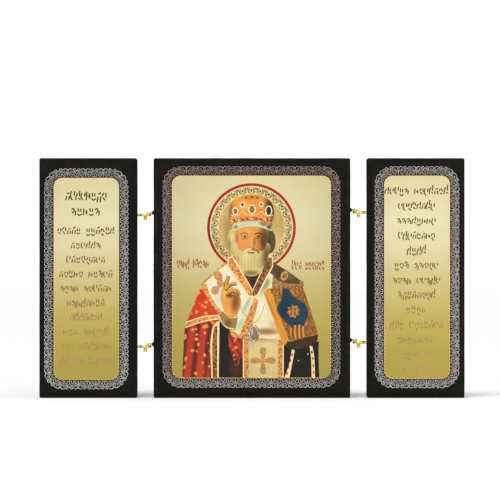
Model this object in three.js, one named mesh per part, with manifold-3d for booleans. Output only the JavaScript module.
// A folding table triptych: three covered boards, each faced with a foil-printed card, joined by
// brass hooks and eyes. Millimetres, +Z up, the printed faces look towards -Y, and the origin is the
// middle of the centre board's underside. The wings are modelled open, in line with the centre board.
import * as THREE from "three";
import { mergeVertices } from "three/addons/utils/BufferGeometryUtils.js";
import Module from "manifold-3d";

const wasm = await Module();
wasm.setup();

// ---- Boards -------------------------------------------------------------------------------------
const BOARD_HEIGHT = 97.4;
const BOARD_THICKNESS = 8;
const CENTRE_WIDTH = 80;
const CLOSING_GAP = 0.4; // left between the two wings when both are folded shut
const WING_WIDTH = (CENTRE_WIDTH - CLOSING_GAP) / 2;
const HINGE_GAP = 6.6; // between neighbouring boards when they stand open in line
const EDGE_ROUNDING = 0.8; // how far the covering rounds the long edges
const CORNER_RADIUS = 1.2; // the corners, seen from the front
const ROUNDING_STEPS = 3;
const CORNER_STEPS = 4;

// ---- Printed cards ------------------------------------------------------------------------------
const CARD_THICKNESS = 0.3;
const BORDER_RISE = 0.05; // the stamped border above the card
const PANEL_RISE = 0.05; // the gold picture panel above the card
const CARD_CORNER = 0.5;
const BORDER_BAND = 3.9; // from the border's outer edge to the panel's edge
const BORDER_RADIUS = 7.4; // outer corners of the border
const SCALLOP_PITCH = 7.3;
const SCALLOP_DEPTH = 0.3;
const SCALLOP_STEPS = 6;
const PANEL_STEPS = 6;
// Each card's margins on its board, and its border's. The cards are printed and laid by hand, so no
// two borders sit quite alike. "inner" is the side nearer the centre line, and the centre's left.
const CENTRE_CARD = { side: 2.5, inner: 2.5, top: 1.5, bottom: 1.9 };
const CENTRE_BORDER = { side: 4.05, inner: 3.65, top: 3.25, bottom: 4.15 };
const WING_CARD = { side: 0.7, inner: 1.6, top: 1.6, bottom: 1.8 };
const WING_BORDERS = {
  left: { side: 2, inner: 3.5, top: 4.15, bottom: 3.5 },
  right: { side: 2.15, inner: 3.15, top: 3.25, bottom: 3.95 },
};

// ---- Hooks and eyes -----------------------------------------------------------------------------
const EYE_OUTER = 5;
const EYE_WIRE = 1;
const HOOK_WIRE = 0.7;
const HOOK_STUB = 1.3; // the leg's end below the eye is upset to this thickness
const STUB_CROWN = 0.15; // how far the upset end's two faces are domed
const HOOK_BEND = 1; // centreline radius of the hook's square bend
const HOOK_DROP = 1.5; // how far the hook's leg shows below the eye
const STACK_CLEARANCE = 0.08; // between the eye and the hook's shank that passes over it
const SHANK_SLANT = Math.PI / 6; // the shanks run back into the boards' edges at this angle
const THREAD = 1.2; // diameter of the screw threads inside the boards
const THREAD_LENGTH = 6;
const TIP_LENGTH = 1.5;
const THREAD_SETBACK = 0.3; // the threads start this far inside the edge
const WIRE_IN_THREAD = 0.3; // the plain wire runs this far into the thread
const HOLE_CLEARANCE = 0.3;
const HOLE_MOUTH = 1; // the drill starts this far outside the edge
const FOLDED_CLEARANCE = 0.15; // half the space between two panels folded face to face
const WIRE_SIDES = 10;
const EYE_STEPS = 24;
const HOOK_STEPS = 16;
const EYE_HEIGHTS = { left: [20.9, 74.3], right: [22.6, 75.4] }; // set by hand, so not quite level

const FRONT = -BOARD_THICKNESS / 2;
const AXIS_X = CENTRE_WIDTH / 2 + HINGE_GAP / 2;
// The pins stand just in front of the panels, which is what lets a wing fold flat on the centre.
const AXIS_Y = FRONT - CARD_THICKNESS - PANEL_RISE - FOLDED_CLEARANCE;
const REACH_TO_BOARD = HINGE_GAP / 2 / Math.cos(SHANK_SLANT);
const WIRE_END = REACH_TO_BOARD + THREAD_SETBACK + WIRE_IN_THREAD;

const covering = new THREE.MeshStandardMaterial({ color: 0x1a1a17, roughness: 0.75, metalness: 0 });
const printedCard = new THREE.MeshStandardMaterial({ color: 0x8f8454, roughness: 0.4, metalness: 0.4 });
const brass = new THREE.MeshStandardMaterial({ color: 0xd9b84a, roughness: 0.25, metalness: 1 });

// ---- Solids to and from manifold-3d --------------------------------------------------------------
function toSolid(geometry) {
  const bare = new THREE.BufferGeometry();
  const source = geometry.index ? geometry.toNonIndexed() : geometry;
  bare.setAttribute("position", source.getAttribute("position"));
  const merged = mergeVertices(bare, 1e-4);
  return new wasm.Manifold(
    new wasm.Mesh({
      numProp: 3,
      vertProperties: merged.attributes.position.array,
      triVerts: new Uint32Array(merged.index.array),
    }),
  );
}

function toGeometry(solid) {
  const mesh = solid.getMesh();
  const geometry = new THREE.BufferGeometry();
  geometry.setAttribute("position", new THREE.BufferAttribute(mesh.vertProperties, 3));
  geometry.setIndex(new THREE.BufferAttribute(mesh.triVerts, 1));
  geometry.computeVertexNormals();
  return geometry;
}

// ---- Outlines and slabs --------------------------------------------------------------------------
// A rectangle with round corners, given by its left, right, bottom and top sides.
function roundedRectangle({ left, right, bottom, top }, radius) {
  const shape = new THREE.Shape();
  shape.moveTo(left + radius, bottom);
  shape.lineTo(right - radius, bottom);
  shape.absarc(right - radius, bottom + radius, radius, -Math.PI / 2, 0);
  shape.lineTo(right, top - radius);
  shape.absarc(right - radius, top - radius, radius, 0, Math.PI / 2);
  shape.lineTo(left + radius, top);
  shape.absarc(left + radius, top - radius, radius, Math.PI / 2, Math.PI);
  shape.lineTo(left, bottom + radius);
  shape.absarc(left + radius, bottom + radius, radius, Math.PI, 1.5 * Math.PI);
  return shape;
}

// The same rectangle with a row of shallow scallops along its whole edge.
function scallopedRectangle(sides, radius) {
  const edge = roundedRectangle(sides, radius);
  const scallops = Math.round(edge.getLength() / SCALLOP_PITCH);
  const count = scallops * SCALLOP_STEPS;
  const points = [];
  for (let i = 0; i < count; i += 1) {
    const point = edge.getPointAt(i / count);
    const along = edge.getTangentAt(i / count);
    const inset = SCALLOP_DEPTH * (1 - Math.abs(Math.sin((Math.PI * i) / SCALLOP_STEPS)));
    points.push(new THREE.Vector2(point.x - along.y * inset, point.y + along.x * inset));
  }
  return new THREE.Shape(points);
}

// A flat slab whose outline is drawn in X and Z; it runs back from y = front.
function slab(shape, front, depth, steps) {
  const geometry = new THREE.ExtrudeGeometry(shape, { depth, bevelEnabled: false, curveSegments: steps });
  geometry.rotateX(Math.PI / 2);
  geometry.translate(0, front + depth, 0);
  return toSolid(geometry);
}

const inset = ({ left, right, bottom, top }, by) => ({
  left: left + by,
  right: right - by,
  bottom: bottom + by,
  top: top - by,
});

// ---- Boards --------------------------------------------------------------------------------------
function board(sides) {
  const geometry = new THREE.ExtrudeGeometry(roundedRectangle(sides, CORNER_RADIUS), {
    depth: BOARD_THICKNESS - 2 * EDGE_ROUNDING,
    bevelThickness: EDGE_ROUNDING,
    bevelSize: EDGE_ROUNDING,
    bevelOffset: -EDGE_ROUNDING,
    bevelSegments: ROUNDING_STEPS,
    curveSegments: CORNER_STEPS,
  });
  geometry.rotateX(Math.PI / 2);
  geometry.translate(0, BOARD_THICKNESS / 2 - EDGE_ROUNDING, 0);
  return toSolid(geometry);
}

// ---- Cards ---------------------------------------------------------------------------------------
// margins.side is the margin away from the centre line, and side is -1 for the left wing.
function withMargins(sides, margins, side) {
  const [onLeft, onRight] = side < 0 ? [margins.side, margins.inner] : [margins.inner, margins.side];
  return {
    left: sides.left + onLeft,
    right: sides.right - onRight,
    bottom: sides.bottom + margins.bottom,
    top: sides.top - margins.top,
  };
}

function card(sides, cardMargins, borderMargins, side) {
  const border = withMargins(sides, borderMargins, side);
  const panel = inset(border, BORDER_BAND);
  const stepBack = (rise) => FRONT - CARD_THICKNESS - rise;
  const solid = slab(
    roundedRectangle(withMargins(sides, cardMargins, side), CARD_CORNER),
    stepBack(0),
    CARD_THICKNESS,
    1,
  )
    .add(slab(scallopedRectangle(border, BORDER_RADIUS), stepBack(BORDER_RISE), BORDER_RISE + 0.1, 1))
    .add(
      slab(
        roundedRectangle(panel, BORDER_RADIUS - BORDER_BAND),
        stepBack(PANEL_RISE),
        PANEL_RISE + 0.1,
        PANEL_STEPS,
      ),
    );
  return toGeometry(solid);
}

// ---- Hooks and eyes ------------------------------------------------------------------------------
// Both are drawn with the pin's axis on Z through the origin and the shank slanting back along +X.
const slantedPoint = (reach, height) =>
  new THREE.Vector3(reach * Math.cos(SHANK_SLANT), reach * Math.sin(SHANK_SLANT), height);

// A round bar turned from a profile of [radius, reach] corners, laid along the slant.
function slantedBar(corners, height) {
  const profile = corners.map(([radius, reach]) => new THREE.Vector2(radius, reach));
  const bar = new THREE.LatheGeometry(profile, WIRE_SIDES);
  bar.rotateZ(SHANK_SLANT - Math.PI / 2);
  bar.translate(0, 0, height);
  return toSolid(bar);
}

// The screw thread inside the board. A clearance makes it the pilot hole, open at the board's edge.
function thread(height, clearance) {
  const radius = THREAD / 2 + clearance;
  const start = REACH_TO_BOARD + (clearance > 0 ? -HOLE_MOUTH : THREAD_SETBACK);
  const end = REACH_TO_BOARD + THREAD_LENGTH + clearance;
  return slantedBar(
    [
      [0, start],
      [radius, start],
      [radius, end - TIP_LENGTH],
      [0, end],
    ],
    height,
  );
}

const EYE_RADIUS = (EYE_OUTER - EYE_WIRE) / 2;

function eye() {
  const ring = new THREE.TorusGeometry(EYE_RADIUS, EYE_WIRE / 2, WIRE_SIDES, EYE_STEPS);
  const neck = slantedBar(
    [
      [0, EYE_RADIUS],
      [EYE_WIRE / 2, EYE_RADIUS],
      [EYE_WIRE / 2, WIRE_END],
      [0, WIRE_END],
    ],
    0,
  );
  return toSolid(ring).add(neck).add(thread(0, 0));
}

const HOOK_LEVEL = (EYE_WIRE + HOOK_WIRE) / 2 + STACK_CLEARANCE; // its shank above the eye's plane

function hook() {
  const path = new THREE.CurvePath();
  const bendStart = slantedPoint(HOOK_BEND, HOOK_LEVEL);
  const bendEnd = slantedPoint(0, HOOK_LEVEL - HOOK_BEND);
  const legEnd = slantedPoint(0, -EYE_WIRE / 2 - HOOK_DROP);
  path.add(new THREE.LineCurve3(slantedPoint(WIRE_END, HOOK_LEVEL), bendStart));
  path.add(new THREE.QuadraticBezierCurve3(bendStart, slantedPoint(0, HOOK_LEVEL), bendEnd));
  path.add(new THREE.LineCurve3(bendEnd, legEnd));
  const section = new THREE.Shape();
  section.absarc(0, 0, HOOK_WIRE / 2, 0, 2 * Math.PI);
  const wire = new THREE.ExtrudeGeometry(section, {
    steps: HOOK_STEPS,
    curveSegments: WIRE_SIDES / 2,
    extrudePath: path,
    bevelEnabled: false,
  });
  const stub = new THREE.LatheGeometry(
    [
      new THREE.Vector2(0, legEnd.z - STUB_CROWN),
      new THREE.Vector2(HOOK_STUB / 2 - STUB_CROWN, legEnd.z - STUB_CROWN),
      new THREE.Vector2(HOOK_STUB / 2, legEnd.z),
      new THREE.Vector2(HOOK_STUB / 2, -EYE_WIRE / 2 - STUB_CROWN),
      new THREE.Vector2(0, -EYE_WIRE / 2),
    ],
    WIRE_SIDES,
  );
  stub.rotateX(Math.PI / 2);
  return toSolid(wire).add(toSolid(stub)).add(thread(HOOK_LEVEL, 0));
}

// A solid drawn about a pin's axis, put at one of the pins. side is -1 for the left pair. A hook's
// shank points towards the centre line and an eye's away from it, so one of them is turned round.
function atPin(solid, side, height, towardsCentre) {
  const flip = side < 0 === towardsCentre ? 1 : -1;
  return solid.scale([flip, 1, 1]).translate([side * AXIS_X, AXIS_Y, height]);
}

// ---- The triptych --------------------------------------------------------------------------------
const triptych = new THREE.Group();
triptych.name = "triptych";

function addMesh(name, geometry, material) {
  const mesh = new THREE.Mesh(geometry, material);
  mesh.name = name;
  triptych.add(mesh);
}

const PINS = ["lower", "upper"];
const SIDES = { left: -1, right: 1 };

const centreSides = { left: -CENTRE_WIDTH / 2, right: CENTRE_WIDTH / 2, bottom: 0, top: BOARD_HEIGHT };
let centreBoard = board(centreSides);
for (const [sideName, side] of Object.entries(SIDES)) {
  EYE_HEIGHTS[sideName].forEach((height, i) => {
    centreBoard = centreBoard.subtract(atPin(thread(HOOK_LEVEL, HOLE_CLEARANCE), side, height, true));
    addMesh(`${sideName}_${PINS[i]}_hook`, toGeometry(atPin(hook(), side, height, true)), brass);
  });
}
addMesh("centre_board", toGeometry(centreBoard), covering);
addMesh("centre_card", card(centreSides, CENTRE_CARD, CENTRE_BORDER, 1), printedCard);

for (const [sideName, side] of Object.entries(SIDES)) {
  const near = side * (CENTRE_WIDTH / 2 + HINGE_GAP);
  const far = near + side * WING_WIDTH;
  const sides = { left: Math.min(near, far), right: Math.max(near, far), bottom: 0, top: BOARD_HEIGHT };
  let wing = board(sides);
  EYE_HEIGHTS[sideName].forEach((height, i) => {
    wing = wing.subtract(atPin(thread(0, HOLE_CLEARANCE), side, height, false));
    addMesh(`${sideName}_${PINS[i]}_eye`, toGeometry(atPin(eye(), side, height, false)), brass);
  });
  addMesh(`${sideName}_wing_board`, toGeometry(wing), covering);
  addMesh(`${sideName}_wing_card`, card(sides, WING_CARD, WING_BORDERS[sideName], side), printedCard);
}

export default triptych;
